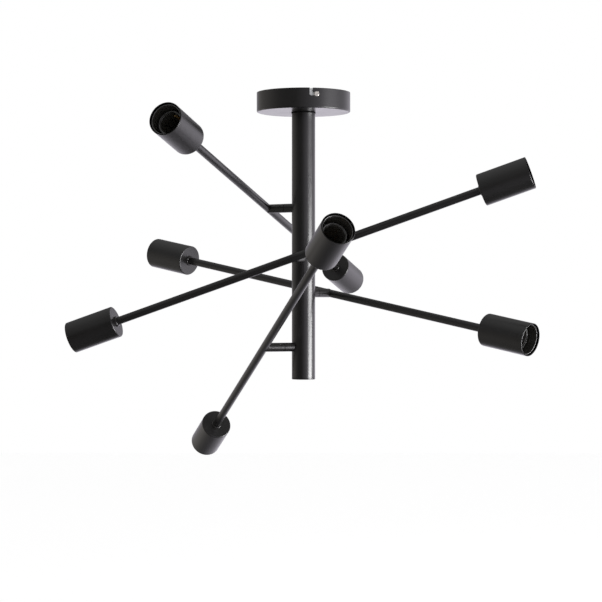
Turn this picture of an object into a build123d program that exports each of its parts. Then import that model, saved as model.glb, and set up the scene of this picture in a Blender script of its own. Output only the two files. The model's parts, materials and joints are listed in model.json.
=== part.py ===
from build123d import *
from math import cos, radians, sin, sqrt
import os

os.makedirs("parts", exist_ok=True)

# A semi-flush ceiling light: a shallow round canopy, a straight stem under it, and four tubular arms
# that each turn on a stub of the stem and carry a lampholder at both ends.
# The origin is the middle of the ceiling face and +Z points up into the ceiling. Lengths are millimetres.

# Fits between pieces
assembly_clearance = 0.05
running_clearance = 0.04
bore_clearance = 0.15
cut_overrun = 1.0

# Canopy, a spun steel cup that hooks onto two screws of the strap
canopy_diameter = 120.0
canopy_height = 25.0
canopy_wall = 1.2
canopy_edge_radius = 1.5
slot_width = 4.2
slot_throw = 6.6

# Mounting strap, a steel strip with two ears turned down
strap_azimuth = -74.3
strap_width = 22.0
strap_thickness = 2.0
strap_end_clearance = 1.3
ear_drop = 14.0
bend_radius = 1.5
ceiling_screw_circle = 70.0
ceiling_screw_hole = 5.0

# Side screws that hold the canopy on the ears
side_screw_drop = 7.8
side_screw_diameter = 3.9
side_screw_head_diameter = 6.4
side_screw_head_height = 2.2
side_screw_tail = 3.0
driver_slot_width = 0.9
driver_slot_depth = 0.8
driver_slot_angle = 30.0

# Terminal block and earth screw under the strap
block_length = 26.0
block_width = 17.0
block_height = 11.0
block_corner_radius = 1.0
block_peg_diameter = 3.0
block_peg_reach = 9.0
block_screw_pitch = 8.0
block_screw_offset = 5.8
block_screw_diameter = 3.6
block_screw_depth = 5.0
block_entry_depth = 4.0
earth_screw_reach = 21.0
earth_screw_diameter = 3.9
earth_head_diameter = 7.0
earth_head_height = 2.4
earth_washer_diameter = 9.0
earth_washer_thickness = 0.8
earth_wire_gap = 1.0

# Stem, a steel tube closed by a tapped plug above and a turned cap below
stem_diameter = 30.0
stem_length = 342.4
stem_wall = 1.2
plug_depth = 10.0
cap_lip = 2.0
cap_spigot = 8.0
cap_chamfer = 0.35

# Hollow nipple, washer and nut that fix the stem to the canopy
nipple_diameter = 10.0
nipple_bore = 7.4
nipple_overrun = 2.0
canopy_washer_diameter = 26.0
canopy_washer_thickness = 1.5
nut_flats = 14.0
nut_thickness = 3.0

# Stubs: fixed boss, hollow pivot, friction washer and turning sleeve
stub_diameter = 11.4
boss_end = 27.2
washer_thickness = 0.8
washer_diameter = 9.6
pivot_diameter = 8.0
pivot_bore = 4.8
pivot_overrun = 0.6
pivot_nut_flats = 12.0
pivot_nut_thickness = 2.5
pivot_engagement = 15.0
sleeve_wire_hole = 5.2
grub_offset = 5.0
grub_diameter = 3.0
grub_recess = 0.3
grub_tip_gap = 0.15
grub_socket_width = 1.3
grub_socket_depth = 0.9
groove_depth = 0.8
groove_side_gap = 0.35

# Arms: each rod's distance from the stem axis, its tube and how far the lampholders stand out
rod_offset = 54.0
rod_diameter = 10.0
rod_bore = 7.2
rod_wire_hole = 5.2
rod_reach = 247.8
rod_nut_diameter = 13.6
rod_nut_thickness = 2.0
rod_nut_chamfer = 0.4
rod_overrun = 1.5

# Lampholders: painted metal cover over a moulded socket for a 27 mm screw lamp
holder_diameter = 40.6
holder_length = 63.6
cover_wall = 1.0
cover_edge_radius = 1.4
rim_height = 3.0
rim_gap = 0.4
rim_thickness = 1.3
rim_chamfer = 0.4
ledge_thickness = 0.8
skirt_thickness = 1.4
floor_height = 14.0
floor_thickness = 6.0
throat_diameter = 27.8
throat_length = 6.0
throat_recess = 13.5
sleeve_diameter = 30.0
insert_diameter = 28.2
thread_diameter = 27.0
thread_depth = 0.9
thread_turns = 7

# Brass contacts of a lampholder: a sprung tongue in the middle and a strip at the side
contact_thickness = 0.5
tongue_width = 6.0
tongue_reach = 9.0
tongue_height = 8.0
tongue_bend_radius = 1.2
rivet_diameter = 3.2
rivet_height = 0.7
side_contact_width = 5.0
side_contact_height = 20.0
side_contact_foot = 3.0

# Leads that run down inside the stem
lead_diameter = 2.2
lead_column_offset = 2.45
lead_bend_radius = 6.0

# Each arm from the top down: azimuth of its stub, share of the stem length above it, how far its
# rod leans from level about the stub, and how far the rod leans out of square to the stub
arm_azimuths = (147.0, -101.6, 52.6, -157.5)
arm_drop_shares = (0.357, 0.547, 0.676, 0.879)
arm_leans = (17.0, -160.9, -169.4, 26.9)
arm_seat_angles = (-10.2, -0.5, -0.9, 3.4)

# Sizes that follow from those above
canopy_radius = canopy_diameter / 2
canopy_inner_radius = canopy_radius - canopy_wall
stem_radius = stem_diameter / 2
stem_inner_radius = stem_radius - stem_wall
stub_radius = stub_diameter / 2
pivot_radius = pivot_diameter / 2
rod_radius = rod_diameter / 2
holder_radius = holder_diameter / 2
ear_outer_face = canopy_inner_radius - strap_end_clearance
nipple_top = -canopy_height + canopy_wall + canopy_washer_thickness + nut_thickness + nipple_overrun
block_bottom = -strap_thickness - block_height
washer_end = boss_end + washer_thickness
sleeve_start = washer_end + assembly_clearance
pivot_end = sleeve_start + pivot_engagement
grub_place = sleeve_start + grub_offset
groove_radius = pivot_radius - groove_depth
pivot_nut_corner = pivot_nut_flats / sqrt(3)
pivot_nut_face = sqrt(stem_inner_radius**2 - pivot_nut_corner**2) - assembly_clearance
pivot_start = pivot_nut_face - pivot_nut_thickness - pivot_overrun
cover_length = holder_length - rim_height
cover_bore_radius = holder_radius - cover_wall
socket_radius = cover_bore_radius - bore_clearance
floor_top = floor_height + floor_thickness
throat_top = holder_length - throat_recess
throat_bottom = throat_top - throat_length
throat_radius = throat_diameter / 2
sleeve_radius = sleeve_diameter / 2
insert_radius = insert_diameter / 2
thread_radius = thread_diameter / 2
thread_pitch = (throat_bottom - floor_top) / thread_turns
side_contact_radius = thread_radius - assembly_clearance
rod_end = rod_reach + cover_wall + nut_thickness + rod_overrun
arm_heights = [-canopy_height - drop_share * stem_length for drop_share in arm_drop_shares]


def outward(azimuth):
    """Direction away from the stem axis at this azimuth"""
    return Vector(cos(radians(azimuth)), sin(radians(azimuth)), 0)


def facing(azimuth, height=0.0):
    """Plane on the stem axis that looks outward, with its x along the turn and its y up"""
    turning = outward(azimuth).cross(Vector(0, 0, -1))
    return Plane(origin=(0, 0, height), x_dir=turning, z_dir=outward(azimuth))


def finish(piece, name):
    """Label a finished piece and write it under its name"""
    piece.part.label = name
    export_step(piece.part, f"parts/{name}.step")


stubs = [facing(azimuth, height) for azimuth, height in zip(arm_azimuths, arm_heights)]


# Canopy with its two hooked slots
with BuildPart() as canopy:
    with BuildSketch(Plane.XY.offset(-canopy_height)):
        Circle(canopy_radius)
    extrude(amount=canopy_height)
    fillet(canopy.edges().group_by(Axis.Z)[0], canopy_edge_radius)
    offset(amount=-canopy_wall, openings=canopy.faces().sort_by(Axis.Z)[-1])
    with BuildSketch(Plane.XY.offset(-canopy_height)):
        Circle(nipple_diameter / 2 + assembly_clearance)
    extrude(amount=canopy_wall, mode=Mode.SUBTRACT)
    for azimuth in (strap_azimuth, strap_azimuth + 180):
        with BuildSketch(facing(azimuth, -side_screw_drop)):
            with Locations((-slot_throw, 0)):
                Rectangle(slot_width, side_screw_drop, align=(Align.CENTER, Align.MIN))
            with Locations((-slot_throw / 2, 0)):
                SlotCenterToCenter(slot_throw, slot_width)
        extrude(amount=canopy_radius, mode=Mode.SUBTRACT)
finish(canopy, "canopy")

# Mounting strap, bent from one strip and tapped for the side screws and the earth screw
strap_flat = Plane(origin=(0, 0, -strap_thickness), x_dir=outward(strap_azimuth), z_dir=(0, 0, 1))
strap_side = Plane(origin=(0, 0, 0), x_dir=outward(strap_azimuth), z_dir=outward(strap_azimuth - 90))
strap_across = Axis((0, 0, 0), outward(strap_azimuth - 90))
with BuildPart() as mounting_strap:
    with BuildSketch(strap_side):
        Rectangle(2 * ear_outer_face, ear_drop, align=(Align.CENTER, Align.MAX))
        with Locations((0, -strap_thickness)):
            Rectangle(2 * (ear_outer_face - strap_thickness), ear_drop,
                      align=(Align.CENTER, Align.MAX), mode=Mode.SUBTRACT)
    extrude(amount=strap_width / 2, both=True)
    bends = mounting_strap.edges().filter_by(strap_across).group_by(Axis.Z)
    fillet(bends[-1], bend_radius + strap_thickness)
    fillet(mounting_strap.edges().filter_by(strap_across).filter_by_position(
        Axis.Z, -strap_thickness - assembly_clearance, -strap_thickness + assembly_clearance), bend_radius)
    with BuildSketch(strap_flat):
        with PolarLocations(ceiling_screw_circle / 2, 2):
            Circle(ceiling_screw_hole / 2)
        with PolarLocations(block_peg_reach, 2):
            Circle(block_peg_diameter / 2 + assembly_clearance)
        with Locations((earth_screw_reach, 0)):
            Circle(earth_screw_diameter / 2 + assembly_clearance)
    extrude(amount=strap_thickness, mode=Mode.SUBTRACT)
    with BuildSketch(facing(strap_azimuth, -side_screw_drop)):
        Circle(side_screw_diameter / 2 + assembly_clearance)
    extrude(amount=canopy_radius, both=True, mode=Mode.SUBTRACT)
finish(mounting_strap, "mounting_strap")

# Two side screws, each with its head on the canopy and its tail in an ear
with BuildPart() as canopy_screws:
    for azimuth in (strap_azimuth, strap_azimuth + 180):
        screw_plane = facing(azimuth, -side_screw_drop)
        head_seat = canopy_radius + assembly_clearance
        shank_start = ear_outer_face - strap_thickness - side_screw_tail
        with BuildSketch(screw_plane.offset(shank_start)):
            Circle(side_screw_diameter / 2)
        extrude(amount=head_seat - shank_start)
        with BuildSketch(screw_plane.offset(head_seat)):
            Circle(side_screw_head_diameter / 2)
        extrude(amount=side_screw_head_height)
        fillet(canopy_screws.faces().sort_by(Axis((0, 0, 0), outward(azimuth)))[-1].edges(),
               side_screw_head_height / 3)
        with BuildSketch(screw_plane.offset(head_seat + side_screw_head_height)):
            Rectangle(side_screw_head_diameter, driver_slot_width, rotation=driver_slot_angle)
        extrude(amount=-driver_slot_depth, mode=Mode.SUBTRACT)
finish(canopy_screws, "canopy_screws")

# Terminal block, pegged into the strap, with its wire entries and screws facing down
block_screw_places = [(-block_screw_pitch, block_screw_offset), (0, block_screw_offset),
                      (block_screw_pitch, block_screw_offset)]
block_plane = Plane(origin=(0, 0, block_bottom), x_dir=outward(strap_azimuth), z_dir=(0, 0, 1))
with BuildPart() as terminal_block:
    with BuildSketch(block_plane):
        RectangleRounded(block_length, block_width, block_corner_radius)
    extrude(amount=block_height)
    with BuildSketch(block_plane.offset(block_height)):
        with PolarLocations(block_peg_reach, 2):
            Circle(block_peg_diameter / 2)
    extrude(amount=strap_thickness)
    with BuildSketch(block_plane):
        with Locations(*block_screw_places):
            Circle(block_screw_diameter / 2 + assembly_clearance)
    extrude(amount=block_screw_depth, mode=Mode.SUBTRACT)
    with BuildSketch(Plane.XY.offset(block_bottom)):
        for azimuth in arm_azimuths:
            with Locations(outward(azimuth) * lead_column_offset):
                Circle(lead_diameter / 2 + assembly_clearance)
    extrude(amount=block_entry_depth, mode=Mode.SUBTRACT)
finish(terminal_block, "terminal_block")

# Brass screws in the terminal block
with BuildPart() as terminal_screws:
    with BuildSketch(block_plane.offset(block_screw_depth)):
        with Locations(*block_screw_places):
            Circle(block_screw_diameter / 2)
    extrude(amount=-(block_screw_depth - driver_slot_depth))
    with BuildSketch(block_plane.offset(driver_slot_depth)):
        with Locations(*block_screw_places):
            Rectangle(block_screw_diameter, driver_slot_width)
    extrude(amount=driver_slot_depth, mode=Mode.SUBTRACT)
finish(terminal_screws, "terminal_screws")

# Earth screw with its cup washer, which clamps the earth wire under the strap
earth_head_top = -strap_thickness - earth_wire_gap - earth_washer_thickness
with BuildPart() as earth_screw:
    with BuildSketch(strap_flat.offset(strap_thickness)):
        with Locations((earth_screw_reach, 0)):
            Circle(earth_screw_diameter / 2)
    extrude(amount=earth_head_top)
    with BuildSketch(strap_flat.offset(strap_thickness + earth_head_top)):
        with Locations((earth_screw_reach, 0)):
            Circle(earth_head_diameter / 2)
    extrude(amount=-earth_head_height)
    with BuildSketch(strap_flat.offset(strap_thickness + earth_head_top - earth_head_height)):
        with Locations((earth_screw_reach, 0)):
            Rectangle(earth_head_diameter, driver_slot_width)
    extrude(amount=driver_slot_depth, mode=Mode.SUBTRACT)
    with BuildSketch(strap_flat.offset(strap_thickness + earth_head_top)):
        with Locations((earth_screw_reach, 0)):
            Circle(earth_washer_diameter / 2)
            Circle(earth_screw_diameter / 2 + assembly_clearance, mode=Mode.SUBTRACT)
    extrude(amount=earth_washer_thickness)
finish(earth_screw, "earth_screw")

# Stem tube, drilled for the four pivots
with BuildPart() as stem:
    with BuildSketch(Plane.XY.offset(-canopy_height)):
        Circle(stem_radius)
        Circle(stem_inner_radius, mode=Mode.SUBTRACT)
    extrude(amount=-(stem_length - cap_lip))
    for stub in stubs:
        with BuildSketch(stub):
            Circle(pivot_radius + assembly_clearance)
        extrude(amount=stem_diameter, mode=Mode.SUBTRACT)
finish(stem, "stem")

# Plug in the top of the stem, tapped for the nipple
with BuildPart() as stem_top_plug:
    with BuildSketch(Plane.XY.offset(-canopy_height)):
        Circle(stem_inner_radius - assembly_clearance)
        Circle(nipple_diameter / 2 + assembly_clearance, mode=Mode.SUBTRACT)
    extrude(amount=-plug_depth)
finish(stem_top_plug, "stem_top_plug")

# Hollow nipple that joins the plug to the canopy and passes the leads
with BuildPart() as top_nipple:
    with BuildSketch(Plane.XY.offset(nipple_top)):
        Circle(nipple_diameter / 2)
        Circle(nipple_bore / 2, mode=Mode.SUBTRACT)
    extrude(amount=-(nipple_top + canopy_height + plug_depth))
finish(top_nipple, "top_nipple")

# Washer and nut on the nipple, inside the canopy
washer_seat = -canopy_height + canopy_wall
with BuildPart() as canopy_washer:
    with BuildSketch(Plane.XY.offset(washer_seat)):
        Circle(canopy_washer_diameter / 2)
        Circle(nipple_diameter / 2 + assembly_clearance, mode=Mode.SUBTRACT)
    extrude(amount=canopy_washer_thickness)
finish(canopy_washer, "canopy_washer")

with BuildPart() as canopy_nut:
    with BuildSketch(Plane.XY.offset(washer_seat + canopy_washer_thickness)):
        RegularPolygon(nut_flats / sqrt(3), 6)
        Circle(nipple_diameter / 2 + assembly_clearance, mode=Mode.SUBTRACT)
    extrude(amount=nut_thickness)
finish(canopy_nut, "canopy_nut")

# Turned cap pressed into the bottom of the stem
with BuildPart() as stem_end_cap:
    with BuildSketch(Plane.XY.offset(-canopy_height - stem_length)):
        Circle(stem_radius)
    extrude(amount=cap_lip)
    chamfer(stem_end_cap.edges().filter_by(GeomType.CIRCLE), cap_chamfer)
    with BuildSketch(Plane.XY.offset(-canopy_height - stem_length + cap_lip)):
        Circle(stem_inner_radius - assembly_clearance)
    extrude(amount=cap_spigot)
finish(stem_end_cap, "stem_end_cap")

# Four leads, each down the stem and out through its own pivot
with BuildPart() as stem_wiring:
    for azimuth, height in zip(arm_azimuths, arm_heights):
        lead_plane = Plane(origin=(0, 0, 0), x_dir=outward(azimuth), z_dir=outward(azimuth - 90))
        with BuildLine(lead_plane) as route:
            down = Line((lead_column_offset, block_bottom + block_entry_depth),
                        (lead_column_offset, height + lead_bend_radius))
            bend = TangentArc(down @ 1, (lead_column_offset + lead_bend_radius, height), tangent=down % 1)
            Line(bend @ 1, (pivot_end, height))
        with BuildSketch(Plane(origin=down @ 0, z_dir=down % 0)):
            Circle(lead_diameter / 2)
        sweep(path=route.line)
finish(stem_wiring, "stem_wiring")

# Nuts that clamp the four pivots inside the stem
with BuildPart() as pivot_nuts:
    for stub in stubs:
        with BuildSketch(stub.offset(pivot_nut_face)):
            RegularPolygon(pivot_nut_corner, 6)
            Circle(pivot_radius + assembly_clearance, mode=Mode.SUBTRACT)
        extrude(amount=-pivot_nut_thickness)
finish(pivot_nuts, "pivot_nuts")

# Friction washers, which show as the dark grooves between bosses and sleeves
with BuildPart() as friction_washers:
    for stub in stubs:
        with BuildSketch(stub.offset(boss_end)):
            Circle(washer_diameter / 2)
            Circle(pivot_radius + assembly_clearance, mode=Mode.SUBTRACT)
        extrude(amount=washer_thickness)
finish(friction_washers, "friction_washers")

# Bosses on the stem, their inner ends shaped to the tube
with BuildPart() as arm_bosses:
    for stub in stubs:
        with BuildSketch(stub):
            Circle(stub_radius)
            Circle(pivot_radius + assembly_clearance, mode=Mode.SUBTRACT)
        extrude(amount=boss_end)
    with BuildSketch(Plane.XY.offset(-canopy_height)):
        Circle(stem_radius + assembly_clearance)
    extrude(amount=-stem_length, mode=Mode.SUBTRACT)
finish(arm_bosses, "arm_bosses")

# Hollow pivots, each with the groove that its grub screw runs in
with BuildPart() as arm_pivots:
    for stub in stubs:
        with BuildSketch(stub.offset(pivot_start)):
            Circle(pivot_radius)
            Circle(pivot_bore / 2, mode=Mode.SUBTRACT)
        extrude(amount=pivot_end - pivot_start)
        with BuildSketch(stub.offset(grub_place - grub_diameter / 2 - groove_side_gap)):
            Circle(stub_radius)
            Circle(groove_radius, mode=Mode.SUBTRACT)
        extrude(amount=grub_diameter + 2 * groove_side_gap, mode=Mode.SUBTRACT)
finish(arm_pivots, "arm_pivots")

# The four arms, numbered from the top down, with lampholders 1 and 2 on arm 1 and so on
for index, stub in enumerate(stubs):
    number = index + 1
    lean = radians(arm_leans[index])
    seat = radians(arm_seat_angles[index])
    across = stub.x_dir * cos(lean) + stub.y_dir * sin(lean)
    along = across * cos(seat) + stub.z_dir * sin(seat)
    rod_middle = stub.origin + stub.z_dir * rod_offset
    rod_side = along.cross(stub.z_dir).normalized()
    rod_plane = Plane(origin=rod_middle, x_dir=rod_side, z_dir=along)

    # Sleeve that turns on the pivot, its outer end shaped to the rod
    grub_plane = Plane(origin=stub.origin + stub.z_dir * grub_place, x_dir=stub.z_dir, z_dir=across)
    with BuildPart() as sleeve:
        with BuildSketch(stub.offset(sleeve_start)):
            Circle(stub_radius)
        extrude(amount=rod_offset - sleeve_start)
        with BuildSketch(stub.offset(sleeve_start)):
            Circle(pivot_radius + running_clearance)
        extrude(amount=pivot_engagement + bore_clearance, mode=Mode.SUBTRACT)
        with BuildSketch(stub.offset(sleeve_start)):
            Circle(sleeve_wire_hole / 2)
        extrude(amount=rod_offset - sleeve_start, mode=Mode.SUBTRACT)
        with BuildSketch(rod_plane):
            Circle(rod_radius + assembly_clearance)
        extrude(amount=2 * stub_diameter, both=True, mode=Mode.SUBTRACT)
        with BuildSketch(grub_plane):
            Circle(grub_diameter / 2 + assembly_clearance)
        extrude(amount=stub_diameter, mode=Mode.SUBTRACT)
    finish(sleeve, f"arm_{number}_sleeve")

    # Grub screw through the sleeve, with its tip in the groove of the pivot
    grub_start = groove_radius + grub_tip_gap
    grub_end = stub_radius - grub_recess
    with BuildPart() as grub_screw:
        with BuildSketch(grub_plane.offset(grub_start)):
            Circle(grub_diameter / 2)
        extrude(amount=grub_end - grub_start)
        with BuildSketch(grub_plane.offset(grub_end)):
            RegularPolygon(grub_socket_width / sqrt(3), 6)
        extrude(amount=-grub_socket_depth, mode=Mode.SUBTRACT)
    finish(grub_screw, f"arm_{number}_grub_screw")

    # Rod, a straight tube with a hole for the leads where it meets the sleeve
    with BuildPart() as rod:
        with BuildSketch(rod_plane):
            Circle(rod_radius)
            Circle(rod_bore / 2, mode=Mode.SUBTRACT)
        extrude(amount=rod_end, both=True)
        with BuildSketch(Plane(origin=rod_middle, x_dir=stub.x_dir, z_dir=-stub.z_dir)):
            Circle(rod_wire_hole / 2)
        extrude(amount=rod_diameter, mode=Mode.SUBTRACT)
    finish(rod, f"arm_{number}_rod")

    ends = [Plane(origin=rod_middle + along * rod_reach, x_dir=rod_side, z_dir=along),
            Plane(origin=rod_middle - along * rod_reach, x_dir=rod_side, z_dir=-along)]

    # Nuts of both rod ends: a round one behind each lampholder and a hexagonal one inside it
    with BuildPart() as rod_nuts:
        for end in ends:
            with BuildSketch(end.offset(-rod_nut_thickness)):
                Circle(rod_nut_diameter / 2)
            extrude(amount=rod_nut_thickness)
            chamfer(rod_nuts.edges().filter_by(GeomType.CIRCLE).sort_by_distance(
                end.origin - end.z_dir * rod_nut_thickness)[0], rod_nut_chamfer)
            with BuildSketch(end.offset(cover_wall)):
                RegularPolygon(nut_flats / sqrt(3), 6)
            extrude(amount=nut_thickness)
            with BuildSketch(end.offset(-rod_nut_thickness - cut_overrun)):
                Circle(rod_radius + assembly_clearance)
            nut_stack = rod_nut_thickness + cover_wall + nut_thickness
            extrude(amount=nut_stack + 2 * cut_overrun, mode=Mode.SUBTRACT)
    finish(rod_nuts, f"arm_{number}_rod_nuts")

    # Brass of both lampholders: a folded tongue riveted to the floor, and a strip up the side
    with BuildPart() as lamp_contacts:
        for end in ends:
            foot_line = floor_top + contact_thickness / 2
            with BuildSketch(Plane(origin=end.origin, x_dir=end.x_dir, z_dir=end.x_dir.cross(end.z_dir))):
                with BuildLine():
                    tongue_points = ((tongue_reach, foot_line), (-tongue_reach / 2, foot_line),
                                     (tongue_reach / 4, floor_top + tongue_height),
                                     (tongue_reach / 2, floor_top + tongue_height / 2))
                    FilletPolyline(*tongue_points, radius=tongue_bend_radius)
                    offset(amount=contact_thickness / 2, side=Side.BOTH)
                make_face()
            extrude(amount=tongue_width / 2, both=True)
            with BuildSketch(end.offset(floor_top + contact_thickness)):
                with Locations((tongue_reach - rivet_diameter, 0)):
                    Circle(rivet_diameter / 2)
            extrude(amount=rivet_height)
            with BuildSketch(end.offset(floor_top)):
                Circle(side_contact_radius)
                Circle(side_contact_radius - contact_thickness, mode=Mode.SUBTRACT)
                Rectangle(side_contact_radius, side_contact_width, align=(Align.MAX, Align.CENTER),
                          mode=Mode.INTERSECT)
            extrude(amount=side_contact_height)
            with BuildSketch(end.offset(floor_top)):
                Circle(side_contact_radius)
                Circle(side_contact_radius - side_contact_foot, mode=Mode.SUBTRACT)
                Rectangle(side_contact_radius, side_contact_width, align=(Align.MAX, Align.CENTER),
                          mode=Mode.INTERSECT)
            extrude(amount=contact_thickness)
    finish(lamp_contacts, f"arm_{number}_lamp_contacts")

    # Threaded inserts of both lampholders, moulded sleeves with a notch down the side for the brass strip
    with BuildPart() as lamp_threads:
        for end in ends:
            with BuildSketch(Plane(origin=end.origin, x_dir=end.x_dir, z_dir=end.x_dir.cross(end.z_dir))):
                with BuildLine():
                    for turn in range(thread_turns):
                        root = floor_top + turn * thread_pitch
                        crest = (thread_radius - thread_depth, root + thread_pitch / 2)
                        ThreePointArc((thread_radius, root), crest, (thread_radius, root + thread_pitch))
                    Polyline((thread_radius, throat_bottom), (insert_radius, throat_bottom),
                             (insert_radius, floor_top), (thread_radius, floor_top))
                make_face()
            revolve(axis=Axis(end.origin, end.z_dir))
            with BuildSketch(end.offset(floor_top)):
                Circle(thread_radius)
                Rectangle(thread_radius, side_contact_width + 2 * assembly_clearance,
                          align=(Align.MAX, Align.CENTER), mode=Mode.INTERSECT)
            extrude(amount=throat_bottom - floor_top, mode=Mode.SUBTRACT)
    finish(lamp_threads, f"arm_{number}_lamp_threads")

    for side, end in enumerate(ends):
        holder = 2 * index + side + 1
        out_of_mouth = Axis(end.origin, end.z_dir)

        # Painted metal cover, a deep cup with the rod through its back
        with BuildPart() as cover:
            with BuildSketch(end):
                Circle(holder_radius)
            extrude(amount=cover_length)
            fillet(cover.faces().sort_by(out_of_mouth)[0].edges(), cover_edge_radius)
            offset(amount=-cover_wall, openings=cover.faces().sort_by(out_of_mouth)[-1])
            with BuildSketch(end):
                Circle(rod_radius + assembly_clearance)
            extrude(amount=cover_wall, mode=Mode.SUBTRACT)
        finish(cover, f"lampholder_{holder}_cover")

        # Moulded socket: floor, skirt with the rim that stands out of the cover, and inner sleeve
        with BuildPart() as socket:
            with BuildSketch(end.offset(floor_height)):
                Circle(socket_radius)
            extrude(amount=cover_length + rim_gap - floor_height)
            with BuildSketch(end.offset(cover_length + rim_gap)):
                Circle(holder_radius)
            extrude(amount=rim_height - rim_gap)
            with BuildSketch(end.offset(floor_top)):
                Circle(socket_radius - skirt_thickness)
            extrude(amount=holder_length - floor_top, mode=Mode.SUBTRACT)
            with BuildSketch(end.offset(cover_length + rim_gap + ledge_thickness)):
                Circle(holder_radius - rim_thickness)
            extrude(amount=rim_height, mode=Mode.SUBTRACT)
            chamfer(socket.faces().sort_by(out_of_mouth)[-1].edges(), rim_chamfer)
            with BuildSketch(end.offset(floor_top)):
                Circle(sleeve_radius)
                Circle(insert_radius + assembly_clearance, mode=Mode.SUBTRACT)
            extrude(amount=throat_bottom - floor_top)
            with BuildSketch(end.offset(throat_bottom)):
                Circle(sleeve_radius)
                Circle(throat_radius, mode=Mode.SUBTRACT)
            extrude(amount=throat_length)
        finish(socket, f"lampholder_{holder}_socket")
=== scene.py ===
import bpy
import bmesh
import json
from math import acos, atan2, cos, pi, radians, sin, sqrt, tan
from mathutils import Matrix, Vector


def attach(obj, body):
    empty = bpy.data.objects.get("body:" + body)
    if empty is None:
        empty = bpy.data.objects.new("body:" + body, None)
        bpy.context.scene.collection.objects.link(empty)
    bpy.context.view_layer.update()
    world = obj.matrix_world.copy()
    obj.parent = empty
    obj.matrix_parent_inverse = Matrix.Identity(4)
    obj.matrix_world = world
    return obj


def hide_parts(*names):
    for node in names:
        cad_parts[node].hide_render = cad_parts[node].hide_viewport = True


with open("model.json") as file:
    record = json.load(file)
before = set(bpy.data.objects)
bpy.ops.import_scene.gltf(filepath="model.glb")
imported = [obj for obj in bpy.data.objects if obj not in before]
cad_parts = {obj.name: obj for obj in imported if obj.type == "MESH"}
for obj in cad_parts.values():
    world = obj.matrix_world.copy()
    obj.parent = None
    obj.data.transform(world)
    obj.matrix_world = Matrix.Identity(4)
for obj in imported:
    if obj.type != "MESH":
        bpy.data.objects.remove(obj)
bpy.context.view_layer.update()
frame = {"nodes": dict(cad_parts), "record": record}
scene = bpy.context.scene
scene.view_settings.view_transform = "Standard"

# Camera: level, 2.3 m in front of the stem and a little below half the height of the light, with
# a long lens that takes it in as the photograph does
camera_distance = 2.315
camera_height = -0.267
camera_turn = 0.079
sensor_width = 36.0
focal_length = 107.88
lens = bpy.data.cameras.new("camera")
lens.sensor_width = sensor_width
lens.lens = focal_length
camera = bpy.data.objects.new("camera", lens)
camera.location = (0.0, -camera_distance, camera_height)
camera.rotation_euler = (radians(90), 0.0, radians(camera_turn))
scene.collection.objects.link(camera)
scene.camera = camera


# Studio: white to the camera, and an even light on every matt surface. Gloss shows the room: white
# paper straight behind the light, a bright right side, and a dark left side, floor and front
class Wire:
    """What comes out of a node. Arithmetic on it adds Math nodes to the same tree."""

    def __init__(self, tree, socket):
        self.tree = tree
        self.socket = socket

    @classmethod
    def node(cls, tree, kind, settings, inputs, output=0):
        """Add a node: its settings come first, then the value or link of each socket"""
        new = tree.nodes.new(kind)
        for key, value in settings.items():
            if key == "stops":
                ramp = new.color_ramp.elements
                while len(ramp) < len(value):
                    ramp.new(0.5)
                for stop, (place, colour) in zip(ramp, value):
                    stop.position = place
                    stop.color = (*colour, 1.0)
            else:
                setattr(new, key, value)
        for key, value in inputs.items():
            if isinstance(value, Wire):
                tree.links.new(value.socket, new.inputs[key])
            else:
                new.inputs[key].default_value = value
        return cls(tree, new.outputs[output])

    def into(self, node, name):
        """Lead this wire into a socket of a node that stands already"""
        self.tree.links.new(self.socket, node.inputs[name])

    def math(self, operation, first, second, clamp=False):
        settings = {"operation": operation, "use_clamp": clamp}
        return Wire.node(self.tree, "ShaderNodeMath", settings, {0: first, 1: second})

    def __add__(self, other):
        return self.math("ADD", self, other)

    def __radd__(self, other):
        return self.math("ADD", other, self)

    def __sub__(self, other):
        return self.math("SUBTRACT", self, other)

    def __rsub__(self, other):
        return self.math("SUBTRACT", other, self)

    def __mul__(self, other):
        return self.math("MULTIPLY", self, other)

    def __rmul__(self, other):
        return self.math("MULTIPLY", other, self)

    def rise(self, low, high):
        """0 below low, 1 above high, and straight between them"""
        return self.math("MULTIPLY", self - low, 1.0 / (high - low), clamp=True)


def grey(level):
    return (level, level, level, 1.0)


def between(mask, first, second):
    """The first colour where the mask is 0 and the second where it is 1"""
    factor, colour_a, colour_b, colour_out = 0, 6, 7, 2
    return Wire.node(mask.tree, "ShaderNodeMix", {"data_type": "RGBA"},
                     {factor: mask, colour_a: first, colour_b: second}, colour_out)


sky = bpy.data.worlds.new("studio")
scene.world = sky
sky.use_nodes = True
tree = sky.node_tree
tree.nodes.clear()
toward = Wire.node(tree, "ShaderNodeTexCoord", {}, {}, "Generated")
aside = Wire.node(tree, "ShaderNodeSeparateXYZ", {}, {"Vector": toward}, "X")
away = Wire.node(tree, "ShaderNodeSeparateXYZ", {}, {"Vector": toward}, "Y")
upward = Wire.node(tree, "ShaderNodeSeparateXYZ", {}, {"Vector": toward}, "Z")
bearing = aside.math("ARCTAN2", aside, away * -1.0) * (0.5 / pi) + 0.5

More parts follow.
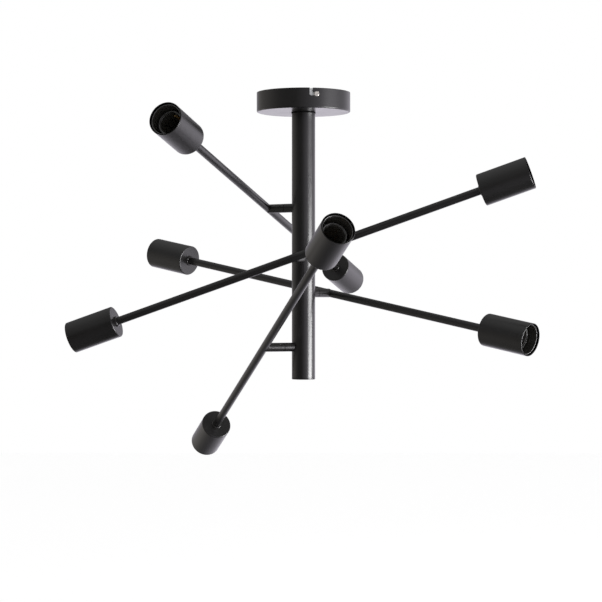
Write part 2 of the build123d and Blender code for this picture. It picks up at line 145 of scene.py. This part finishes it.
# Light of the walls against degrees to the right of the camera's side of the room
walls = [(-180, 1.5), (-168, 1.05), (-155, 0.6), (-140, 0.5), (-118, 0.43), (-92, 0.39),
         (-75, 0.21), (-58, 0.07), (-35, 0.03), (-15, 0.06), (0, 0.26), (20, 0.52), (45, 0.8),
         (60, 1.3), (76, 1.3), (98, 0.9), (118, 1.0), (138, 1.35), (150, 1.25), (168, 1.15),
         (180, 1.5)]
brightest = 1.6
warm, cool = (1.0, 0.95, 0.89), (1.0, 0.955, 1.06)
stops = []
for degrees, light in walls:
    colour = warm if -150 < degrees < 0 else cool
    stops.append(((degrees + 180) / 360, [light / brightest * part for part in colour]))
wall = Wire.node(tree, "ShaderNodeValToRGB", {"stops": stops}, {0: bearing})
room = Wire.node(tree, "ShaderNodeVectorMath", {"operation": "SCALE"},
                 {0: wall, "Scale": brightest})
overhead = upward.rise(0.0, 0.34)
zenith = upward.rise(0.55, 0.95)
below = (upward * -1.0).rise(0.35, 0.9)
room = between(overhead, room, grey(0.18))
room = between(zenith, room, grey(0.36))
room = between(below, room, grey(0.06))
on_matt = Wire.node(tree, "ShaderNodeLightPath", {}, {}, "Is Diffuse Ray")
to_camera = Wire.node(tree, "ShaderNodeLightPath", {}, {}, "Is Camera Ray")
room = between(on_matt, room, grey(0.75))
studio = between(to_camera, room, grey(1.0))
Wire.node(tree, "ShaderNodeBackground", {}, {"Color": studio}).into(
    tree.nodes.new("ShaderNodeOutputWorld"), "Surface")
sky.cycles.sampling_method = "NONE"


# Softboxes: a tall one to the right of the camera, which draws the bright line down the stem, and
# a weak one near it that reaches the matt surfaces only
def softbox(name, width, height, radiance, place):
    """A rectangular lamp that faces the stem and is not seen itself"""
    lamp = bpy.data.lights.new(name, "AREA")
    lamp.shape = "RECTANGLE"
    lamp.size = width
    lamp.size_y = height
    lamp.energy = pi * width * height * radiance
    stand = bpy.data.objects.new(name, lamp)
    stand.location = place
    toward_stem = Vector((-place[0], -place[1], 0.0))
    stand.rotation_euler = toward_stem.to_track_quat("-Z", "Y").to_euler()
    stand.visible_camera = False
    scene.collection.objects.link(stand)
    return stand


tall_softbox = softbox("tall_softbox", width=0.84, height=0.85, radiance=13.0,
                       place=(1.222, -0.445, -0.57))
tall_softbox.visible_diffuse = False
weak_softbox = softbox("weak_softbox", width=0.60, height=0.85, radiance=3.5,
                       place=(1.455, -0.365, -0.20))
weak_softbox.visible_glossy = False


# Floor: pale studio floor under the light, white to the camera but for the light's soft shadow,
# and clear from underneath
def shading(name, **constants):
    """A new material, its tree and its shader, which holds what is the same all over"""
    material = bpy.data.materials.new(name)
    material.use_nodes = True
    principled = material.node_tree.nodes["Principled BSDF"]
    for key, value in constants.items():
        principled.inputs[key.replace("_", " ")].default_value = value
    return material, material.node_tree, principled


floor_level = -0.80
floor_reach = 4.0
bm = bmesh.new()
bmesh.ops.create_grid(bm, x_segments=8, y_segments=8, size=floor_reach)
floor_mesh = bpy.data.meshes.new("studio_floor")
bm.to_mesh(floor_mesh)
bm.free()
floor = bpy.data.objects.new("studio_floor", floor_mesh)
floor.location = (0.0, 0.0, floor_level)
scene.collection.objects.link(floor)
floor_paper, tree, principled = shading("floor_paper", Roughness=0.9, Specular_IOR_Level=0.2,
                                        Emission_Strength=1.0)
fibre = Wire.node(tree, "ShaderNodeTexNoise", {}, {"Scale": 3.0, "Detail": 2.0})
between(fibre, grey(0.93), grey(0.95)).into(principled, "Base Color")
to_camera = Wire.node(tree, "ShaderNodeLightPath", {}, {}, "Is Camera Ray")
between(to_camera, grey(0.0), grey(0.3)).into(principled, "Emission Color")
underneath = Wire.node(tree, "ShaderNodeNewGeometry", {}, {}, "Backfacing")
paper = Wire(tree, principled.outputs[0])
clear = Wire.node(tree, "ShaderNodeBsdfTransparent", {}, {})
Wire.node(tree, "ShaderNodeMixShader", {}, {0: underneath, 1: paper, 2: clear}).into(
    tree.nodes["Material Output"], "Surface")
floor_mesh.materials.append(floor_paper)
floor.visible_glossy = False


# Canopy: a shallow cup spun from sheet steel, 120 mm across, with a satin black powder coat. Two
# hooked slots in its wall slide onto the side screws of the strap. Its solid stays as it is.
def spots(tree, size, detail=2.0, stretch=(1.0, 1.0, 1.0)):
    """Noise with spots of about this size, in metres on the piece itself"""
    place = Wire.node(tree, "ShaderNodeTexCoord", {}, {}, "Object")
    spread = Wire.node(tree, "ShaderNodeVectorMath", {"operation": "MULTIPLY"},
                       {0: place, 1: stretch})
    return Wire.node(tree, "ShaderNodeTexNoise", {},
                     {"Vector": spread, "Scale": 1.0 / size, "Detail": detail})


def tint(mask, first, second):
    """The first colour where the mask is 0 and the second where it is 1, both opaque"""
    return between(mask, (*first, 1.0), (*second, 1.0))


def relief(principled, height, depth, strength=1.0, edge=0.0):
    """Raise the surface by up to depth metres, with edges eased over edge metres"""
    inputs = {"Height": height, "Distance": depth, "Strength": strength}
    if edge:
        inputs["Normal"] = Wire.node(height.tree, "ShaderNodeBevel", {"samples": 4},
                                     {"Radius": edge})
    Wire.node(height.tree, "ShaderNodeBump", {}, inputs).into(principled, "Normal")


def powder_coat(name, dark, light, gloss, edge):
    """Powder coat: soft orange peel, fine grain, faint clouds of gloss and a few light specks"""
    material, tree, principled = shading(name, IOR=1.7)
    peel = spots(tree, 0.0011)
    grain = spots(tree, 0.00022, detail=1.0)
    clouds = spots(tree, 0.03, detail=3.0)
    specks = spots(tree, 0.0009, detail=1.0).rise(0.72, 0.78)
    patches = clouds.rise(0.3, 0.7)
    tint(patches * 0.6 + specks * 0.4, dark, light).into(principled, "Base Color")
    (gloss + patches * 0.04 + grain * 0.03).into(principled, "Roughness")
    relief(principled, peel * 0.8 + grain * 0.2, 0.000010, 0.4, edge)
    return material


def dress(material, *names):
    """Give a material to solids that stay as they are"""
    for name in names:
        frame["nodes"][name].material_slots[0].material = material


black_paint = powder_coat("satin_black_powder_coat", (0.0092, 0.0086, 0.0085),
                          (0.0125, 0.0117, 0.0116), gloss=0.26, edge=0.0003)
dress(black_paint, "canopy")


# Strap and fixings above the canopy: a bent zinc plated strip that screws to the ceiling, with
# its earth screw, the nipple, washer and nut that hold the stem, and two nickel plated side
# screws that carry the canopy
def plated(name, dark, light, gloss, line, metallic):
    """Plated steel: fine drawn lines, cloudy gloss and dull spots"""
    material, tree, principled = shading(name, Metallic=metallic)
    lines = spots(tree, line, detail=3.0, stretch=(1.0, 1.0, 8.0))
    clouds = spots(tree, 0.004, detail=3.0)
    tint(lines * 0.5 + clouds * 0.5, dark, light).into(principled, "Base Color")
    (gloss + clouds.rise(0.35, 0.7) * 0.12 + lines * 0.06).into(principled, "Roughness")
    relief(principled, lines, 0.000012, 0.5, 0.00015)
    return material


zinc = plated("zinc_plated_steel", (0.70, 0.71, 0.72), (0.86, 0.87, 0.88),
              gloss=0.32, line=0.0009, metallic=0.3)
nickel = plated("nickel_plated_steel", (0.66, 0.63, 0.59), (0.86, 0.82, 0.77),
                gloss=0.16, line=0.0004, metallic=0.6)
dress(zinc, "mounting_strap", "earth_screw", "top_nipple", "canopy_washer", "canopy_nut")
dress(nickel, "canopy_screws")


# Terminal block: three-way block of off-white moulded nylon, pegged to the strap, with a faint
# sheen and the slight mottle of moulding. Its screws are zinc plated
def mottled(name, size, dark, light, gloss, dulling, depth=0.00002, strength=0.6, edge=0.0,
            detail=2.0, **constants):
    """A plain finish whose colour, gloss and surface vary a little together"""
    material, tree, principled = shading(name, **constants)
    mottle = spots(tree, size, detail)
    tint(mottle, dark, light).into(principled, "Base Color")
    (gloss + mottle * dulling).into(principled, "Roughness")
    relief(principled, mottle, depth, strength, edge)
    return material


block_nylon = mottled("off_white_moulded_nylon", 0.0015, (0.70, 0.68, 0.61), (0.80, 0.78, 0.72),
                      gloss=0.42, dulling=0.12, depth=0.00003, edge=0.0003, IOR=1.5)
dress(block_nylon, "terminal_block")
dress(zinc, "terminal_screws")

# Stem: straight drawn tube of 30 mm with a turned cap pressed into its lower end, both painted
# with the canopy. A tapped plug closes the top, and the leads hang inside
blackened = mottled("blackened_steel", 0.002, (0.035, 0.034, 0.034), (0.075, 0.073, 0.072),
                    gloss=0.38, dulling=0.15, strength=0.5, edge=0.0002, detail=4.0,
                    Metallic=0.6)

leads_skin, tree, principled = shading("silicone_lead_skin", IOR=1.41)
bloom = spots(tree, 0.006, detail=3.0)
tint(bloom, (0.36, 0.33, 0.29), (0.46, 0.43, 0.38)).into(principled, "Base Color")
(0.40 + bloom * 0.15).into(principled, "Roughness")
relief(principled, spots(tree, 0.0008), 0.00002, 0.6)

dress(black_paint, "stem", "stem_end_cap")
dress(blackened, "stem_top_plug")
dress(leads_skin, "stem_wiring")


# Gasket: a black rubber ring between the canopy and the stem, a little wider than the tube. It is
# painted shade: a dark ring put in for the shadow in the joint, which draws the dark line at the
# top of the stem
def eased(corners, steps=4):
    """A closed outline with each corner (x, y, ease) rounded to the radius ease"""
    outline = []
    for before, corner, after in zip(corners[-1:] + corners[:-1], corners,
                                     corners[1:] + corners[:1]):
        here = Vector(corner[:2])
        if corner[2] == 0:
            outline.append(here)
            continue
        back = (Vector(before[:2]) - here).normalized()
        on = (Vector(after[:2]) - here).normalized()
        half = acos(max(-1.0, min(1.0, back.dot(on)))) / 2
        centre = here + (back + on).normalized() * (corner[2] / sin(half))
        start = here + back * (corner[2] / tan(half)) - centre
        end = here + on * (corner[2] / tan(half)) - centre
        turn = atan2(start.x * end.y - start.y * end.x, start.dot(end))
        for step in range(steps + 1):
            outline.append(centre + Matrix.Rotation(turn * step / steps, 2) @ start)
    return outline


def joined(bm, rings, closed=True):
    """Faces between each ring of vertices and the next, and from the last to the first"""
    following = rings[1:] + rings[:1] if closed else rings[1:]
    for this, other in zip(rings, following):
        for i in range(len(this)):
            j = (i + 1) % len(this)
            bm.faces.new((this[i], this[j], other[j], other[i]))


def shaped(name, bm, place, crease=42):
    """Make a piece of a mesh worked in millimetres and stand it at place"""
    weld = 0.0005
    millimetre = 0.001
    bmesh.ops.remove_doubles(bm, verts=bm.verts, dist=weld)
    bmesh.ops.recalc_face_normals(bm, faces=bm.faces)
    bmesh.ops.scale(bm, vec=(millimetre, millimetre, millimetre), verts=bm.verts)
    bmesh.ops.transform(bm, matrix=place, verts=bm.verts)
    mesh = bpy.data.meshes.new(name)
    bm.to_mesh(mesh)
    bm.free()
    mesh.shade_smooth()
    mesh.set_sharp_from_angle(angle=radians(crease))
    piece = bpy.data.objects.new(name, mesh)
    scene.collection.objects.link(piece)
    piece.modifiers.new("even_shading", "WEIGHTED_NORMAL").keep_sharp = True
    return piece


def turned(bm, corners, segments=96, steps=4):
    """Spin a closed outline of (radius, height, ease) corners round the local Z axis"""
    on_axis = 1e-6
    outline = eased(corners, steps)
    angles = [2 * pi * i / segments for i in range(segments)]
    rings = [[bm.verts.new((p.x * cos(a), p.x * sin(a), p.y)) for a in angles] for p in outline]
    for this, other, p, q in zip(rings, rings[1:] + rings[:1], outline, outline[1:] + outline[:1]):
        if max(p.x, q.x) > on_axis:
            joined(bm, [this, other], closed=False)


# Painted shade: this dark ring stands where the joint between canopy and stem lies in shadow
black_rubber_painted_shade = mottled("black_rubber_painted_shade", 0.0012, (0.0022, 0.0022, 0.0022),
                       (0.0045, 0.0044, 0.0043), gloss=0.55, dulling=0.2, IOR=1.5,
                       Specular_IOR_Level=0.1)
canopy_underside = -25.0
gasket_inside, gasket_outside = 15.05, 15.6
gasket_bottom, gasket_top = -1.4, -0.05
gasket_outline = [(gasket_inside, gasket_bottom, 0.2), (gasket_outside, gasket_bottom, 0.3),
                  (gasket_outside, gasket_top, 0.3), (gasket_inside, gasket_top, 0.2)]
bm = bmesh.new()
turned(bm, gasket_outline)
piece = shaped("stem_gasket_painted_shade", bm, Matrix.Translation((0.0, 0.0, canopy_underside / 1000)))
piece.data.materials.append(black_rubber_painted_shade)
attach(piece, "root")

# Stubs of the arms: a boss fixed to the stem, a hollow pivot through it with its nut inside the
# tube, and a nylon friction washer that shows as the dark groove before the turning sleeve
black_nylon = mottled("black_nylon", 0.001, (0.008, 0.008, 0.008), (0.016, 0.016, 0.016),
                      gloss=0.5, dulling=0.15, IOR=1.53)
dress(black_paint, "arm_bosses")
dress(blackened, "arm_pivots", "pivot_nuts")
dress(black_nylon, "friction_washers")

# Sleeves and rods: each sleeve turns on its pivot, its far end shaped round the rod, and a grub
# screw keeps it on. The rods are straight painted tubes with a lampholder at both ends
arms = range(1, 5)
for arm in arms:
    dress(black_paint, f"arm_{arm}_sleeve", f"arm_{arm}_rod")
    dress(blackened, f"arm_{arm}_grub_screw")


# Nuts of the rod ends: a turned round nut behind each lampholder and a hexagonal one inside it,
# both of black lacquered steel, a little glossier than the paint
def standing(origin, upright, sideways):
    """Where a piece stands: its Z along upright and its X along sideways"""
    axes = Matrix((sideways, upright.cross(sideways), upright)).transposed().to_4x4()
    return Matrix.Translation(origin) @ axes


def hex_nut(bm, flats, hole, bottom, top, ease):
    """A hexagonal nut with its corners turned off at both faces"""
    segments = 72
    corner_cut = 0.12
    face_rim = 0.25
    angles = [2 * pi * i / segments for i in range(segments)]
    body_reach = flats / sqrt(3) - corner_cut
    face_reach = flats / 2 + face_rim
    levels = [(bottom, face_reach), (bottom + ease, body_reach), (top - ease, body_reach),
              (top, face_reach)]
    rings = []
    for level, limit in levels:
        ring = []
        for angle in angles:
            reach = min(flats / 2 / cos((angle % (pi / 3)) - pi / 6), limit)
            ring.append(bm.verts.new((reach * cos(angle), reach * sin(angle), level)))
        rings.append(ring)
    for level in (top, bottom):
        rings.append([bm.verts.new((hole * cos(angle), hole * sin(angle), level))
                      for angle in angles])
    joined(bm, rings)


def arm_of(number):
    """The body that carries this lampholder"""
    return f"arm_{(number + 1) // 2}"


lacquer = powder_coat("black_lacquer", (0.019, 0.018, 0.017), (0.027, 0.025, 0.024),
                      gloss=0.12, edge=0.0)
rod_reach = 0.2478
rod_hole = 5.05
nut_radius = 6.8
round_nut = [(rod_hole, -2.0, 0.15), (nut_radius, -2.0, 0.85), (nut_radius, 0.0, 0.12),
             (rod_hole, 0.0, 0.0)]
lamps = {mount["name"]: mount for mount in frame["record"]["mounts"]}
holders = {}
for arm in arms:
    lamp, partner = lamps[f"lamp_{2 * arm - 1}"], lamps[f"lamp_{2 * arm}"]
    along = Vector(lamp["axis"])
    middle = (Vector(lamp["pos_m"]) + Vector(partner["pos_m"])) / 2
    outward = Vector((middle.x, middle.y, 0.0)).normalized()
    side = along.cross(outward).normalized()
    holders[2 * arm - 1] = standing(middle + along * rod_reach, along, side)
    holders[2 * arm] = standing(middle - along * rod_reach, -along, side)
for number, place in holders.items():
    bm = bmesh.new()
    turned(bm, round_nut, segments=64)
    hex_nut(bm, flats=14.0, hole=rod_hole, bottom=1.0, top=4.0, ease=0.45)
    piece = shaped(f"rod_nuts_{number}", bm, place)
    piece.data.materials.append(lacquer)
    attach(piece, arm_of(number))
    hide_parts(f"{arm_of(number)}_rod_nuts")

# Covers of the lampholders: deep drawn steel cups, 40 mm across, painted with the rods. They
# reach almost to the mouth, and the rod comes in through the back
cover_radius, cover_inside = 20.25, 19.3
cover_wall, cover_edge = 1.0, 62.9
cover_outline = [(rod_hole, 0.0, 0.2), (cover_radius, 0.0, 1.4), (cover_radius, cover_edge, 0.15),
                 (cover_inside, cover_edge, 0.15), (cover_inside, cover_wall, 0.5),
                 (rod_hole, cover_wall, 0.2)]
for number, place in holders.items():
    bm = bmesh.new()
    turned(bm, cover_outline, segments=112, steps=5)
    piece = shaped(f"cover_{number}", bm, place)
    piece.data.materials.append(black_paint)
    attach(piece, arm_of(number))
    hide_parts(f"lampholder_{number}_cover")


# Sockets: dark thermoset mouldings in the covers, with a floor, a skirt down the inside of the
# cover and an inner sleeve that takes the lamp. The lips of both are painted lighter, a painted
# highlight, and catch the light
def moulded(name, dark, light, gloss, specular=0.5, ior=1.55, depth=0.00002):
    """Thermoset moulding: slight flow marks, fine specks and a gloss that is duller in places"""
    material, tree, principled = shading(name, IOR=ior, Specular_IOR_Level=specular)
    flow = spots(tree, 0.004, detail=3.0)
    speck = spots(tree, 0.0004, detail=1.0)
    tint(flow * 0.7 + speck.rise(0.62, 0.75) * 0.3, dark, light).into(principled, "Base Color")
    (gloss + flow * 0.12 + speck * 0.05).into(principled, "Roughness")
    relief(principled, flow * 0.6 + speck * 0.4, depth, 0.5)
    return material


socket_moulding = moulded("dark_thermoset_moulding", (0.021, 0.020, 0.0175),
                          (0.034, 0.032, 0.028), gloss=0.20)
# Painted highlight: the lips are painted lighter than the rest of the moulding, so they show as
# light rings
lips_painted_highlight = moulded("moulding_lips_painted_highlight", (0.045, 0.044, 0.043), (0.085, 0.084, 0.083),
                      gloss=0.26, ior=2.0, depth=0.000002)
floor_bottom, floor_top = 14.0, 20.0
skirt_radius, shoulder_radius, skirt_inside = 19.15, 18.5, 17.6
shoulder, skirt_top = 60.5, 61.0
sleeve_radius, sleeve_inside, sleeve_top = 15.0, 14.15, 50.1
socket_outline = [(0.0, floor_bottom, 0.0), (skirt_radius, floor_bottom, 0.4),
                  (skirt_radius, shoulder, 0.0), (shoulder_radius, shoulder, 0.0),
                  (shoulder_radius, skirt_top, 0.25), (skirt_inside, skirt_top, 0.5),
                  (skirt_inside, floor_top, 0.5), (sleeve_radius, floor_top, 0.4),
                  (sleeve_radius, sleeve_top, 0.4), (sleeve_inside, sleeve_top, 0.1),
                  (sleeve_inside, floor_top, 0.0), (0.0, floor_top, 0.0)]

# Where the lips lie, painted lighter as a painted highlight: from and to this radius, and from and
# to this height
lips = [(17.5, 18.6, 60.4, 61.05), (14.1, 15.1, 49.6, 50.15)]
for number, place in holders.items():
    bm = bmesh.new()
    turned(bm, socket_outline, segments=112)
    for face in bm.faces:
        spot = face.calc_center_median()
        face.material_index = int(any(inner < spot.xy.length < outer and low < spot.z < high
                                      for inner, outer, low, high in lips))
    piece = shaped(f"socket_{number}", bm, place)
    piece.data.materials.append(socket_moulding)
    piece.data.materials.append(lips_painted_highlight)
    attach(piece, arm_of(number))
    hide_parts(f"lampholder_{number}_socket")

# Rims: jet black rings at the front of the sockets, as wide as the covers and 0.7 mm further
# forward, which hold the covers on. The paint of the covers runs over their outer edge
rim_moulding = moulded("jet_black_moulding", (0.0020, 0.0020, 0.0020), (0.0040, 0.0039, 0.0038),
                       gloss=0.30, specular=0.02)
rim_inside, rim_neck, painted_from = 18.95, 19.2, 19.76
rim_back, rim_shoulder, rim_front = 60.55, 63.0, 63.6
rim_outline = [(rim_inside, rim_back, 0.0), (rim_neck, rim_back, 0.0),
               (rim_neck, rim_shoulder, 0.0), (cover_radius, rim_shoulder, 0.0),
               (cover_radius, rim_front, 0.5), (rim_inside, rim_front, 0.3)]
for number, place in holders.items():
    bm = bmesh.new()
    turned(bm, rim_outline, segments=112)
    for face in bm.faces:
        face.material_index = int(face.calc_center_median().xy.length > painted_from)
    piece = shaped(f"rim_{number}", bm, place)
    piece.data.materials.append(rim_moulding)
    piece.data.materials.append(black_paint)
    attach(piece, arm_of(number))
    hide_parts(f"lampholder_{number}_socket")

# Threaded inserts: moulded tubes in the inner sleeves, with the round thread of a 27 mm screw cap,
# its top end and first turn painted lighter as a painted highlight, and a notch down one side for
# the brass strip. The one of lampholder 7 sits at another angle than the rest
insert_radius = 14.1
root_radius = 13.5
thread_depth = 0.9
thread_pitch = 3.45
thread_start, thread_end = 2.0, 0.9
crest_shape = 0.8
insert_bottom, insert_top = floor_top, 49.8
notch_half = 2.85
painted_highlight_depth, painted_highlight_radius = 3.4, 12.95
columns = 72
rows = 78
angles = [2 * pi * column / columns for column in range(columns)]
seat_degrees = {7: 142}
seats = {number: place @ Matrix.Rotation(radians(seat_degrees.get(number, 0)), 4, "Z")
         for number, place in holders.items()}
for number, place in seats.items():
    bm = bmesh.new()
    rings = []
    for row in range(rows + 1):
        climb = (insert_top - insert_bottom) * row / rows
        depth = thread_depth * min(1.0, climb / thread_start,
                                   (insert_top - insert_bottom - climb) / thread_end)
        ring = []
        for angle in angles:
            ridge = 0.5 - 0.5 * cos(2 * pi * climb / thread_pitch - angle)
            notched = cos(angle) < 0 and abs(root_radius * sin(angle)) < notch_half
            radius = root_radius - (0.0 if notched else depth * ridge ** crest_shape)
            ring.append(bm.verts.new((radius * cos(angle), radius * sin(angle),
                                      insert_bottom + climb)))
        rings.append(ring)
    for height in (insert_top, insert_bottom):
        rings.append([bm.verts.new((insert_radius * cos(angle), insert_radius * sin(angle),
                                    height)) for angle in angles])
    joined(bm, rings)
    # Painted highlight: the top end and the first crest take the lighter lips material
    for face in bm.faces:
        spot = face.calc_center_median()
        on_end = spot.z > insert_top - 0.01
        on_crest = spot.z > insert_top - painted_highlight_depth and spot.xy.length < painted_highlight_radius
        face.material_index = int(on_end or on_crest)
    piece = shaped(f"threaded_insert_{number}", bm, place, crease=60)
    piece.data.materials.append(socket_moulding)
    piece.data.materials.append(lips_painted_highlight)
    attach(piece, arm_of(number))
    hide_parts(f"{arm_of(number)}_lamp_threads")


# Contacts: rolled brass, a tongue folded up from the floor and riveted to it, and a strip up the
# side of the insert that presses on the shell of the lamp cap
def strip(bm, path, width, thickness):
    """Sweep a flat bar along a path of (x, z, ease) corners in the local XZ plane"""
    edge = 0.12
    line = eased(path, steps=6)
    section = eased([(-width / 2, -thickness / 2, edge), (width / 2, -thickness / 2, edge),
                     (width / 2, thickness / 2, edge), (-width / 2, thickness / 2, edge)],
                    steps=2)
    rings = []
    for i, point in enumerate(line):
        ahead = line[min(i + 1, len(line) - 1)] - line[max(i - 1, 0)]
        lift = Vector((-ahead.y, ahead.x)).normalized()
        rings.append([bm.verts.new((point.x + lift.x * s.y, s.x, point.y + lift.y * s.y))
                      for s in section])
    joined(bm, rings, closed=False)
    bm.faces.new(rings[0])
    bm.faces.new(list(reversed(rings[-1])))


brass, tree, principled = shading("rolled_brass", Metallic=0.75)
rolled = spots(tree, 0.0004, detail=3.0, stretch=(1.0, 8.0, 1.0))
tarnish = spots(tree, 0.003, detail=4.0)
tint(tarnish, (0.95, 0.64, 0.27), (0.78, 0.47, 0.16)).into(principled, "Base Color")
(0.20 + tarnish * 0.15 + rolled * 0.08).into(principled, "Roughness")
relief(principled, rolled, 0.000012, 0.5)

sheet = 0.5
tongue_width = 6.0
tongue = [(9.0, 20.25, 0.0), (-4.4, 20.25, 1.0), (-2.6, 27.3, 1.2), (0.8, 28.1, 5.0),
          (4.4, 27.0, 0.8), (4.9, 25.6, 0.0)]
side_strip_width = 5.0
side_strip = [(-10.5, 20.25, 0.0), (-12.9, 20.25, 0.6), (-12.9, 32.0, 8.0), (-12.4, 37.5, 3.0),
              (-12.8, 39.9, 0.0)]
rivet = [(0.0, 20.4, 0.0), (1.6, 20.4, 0.0), (1.6, 21.2, 0.45), (0.0, 21.2, 0.0)]
rivet_place = (5.8, 0.0, 0.0)
for number, place in seats.items():
    bm = bmesh.new()
    strip(bm, tongue, tongue_width, sheet)
    strip(bm, side_strip, side_strip_width, sheet)
    before = len(bm.verts)
    turned(bm, rivet, segments=32)
    bm.verts.ensure_lookup_table()
    bmesh.ops.translate(bm, vec=rivet_place, verts=bm.verts[before:])
    piece = shaped(f"brass_contacts_{number}", bm, place)
    piece.data.materials.append(brass)
    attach(piece, arm_of(number))
    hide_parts(f"{arm_of(number)}_lamp_contacts")
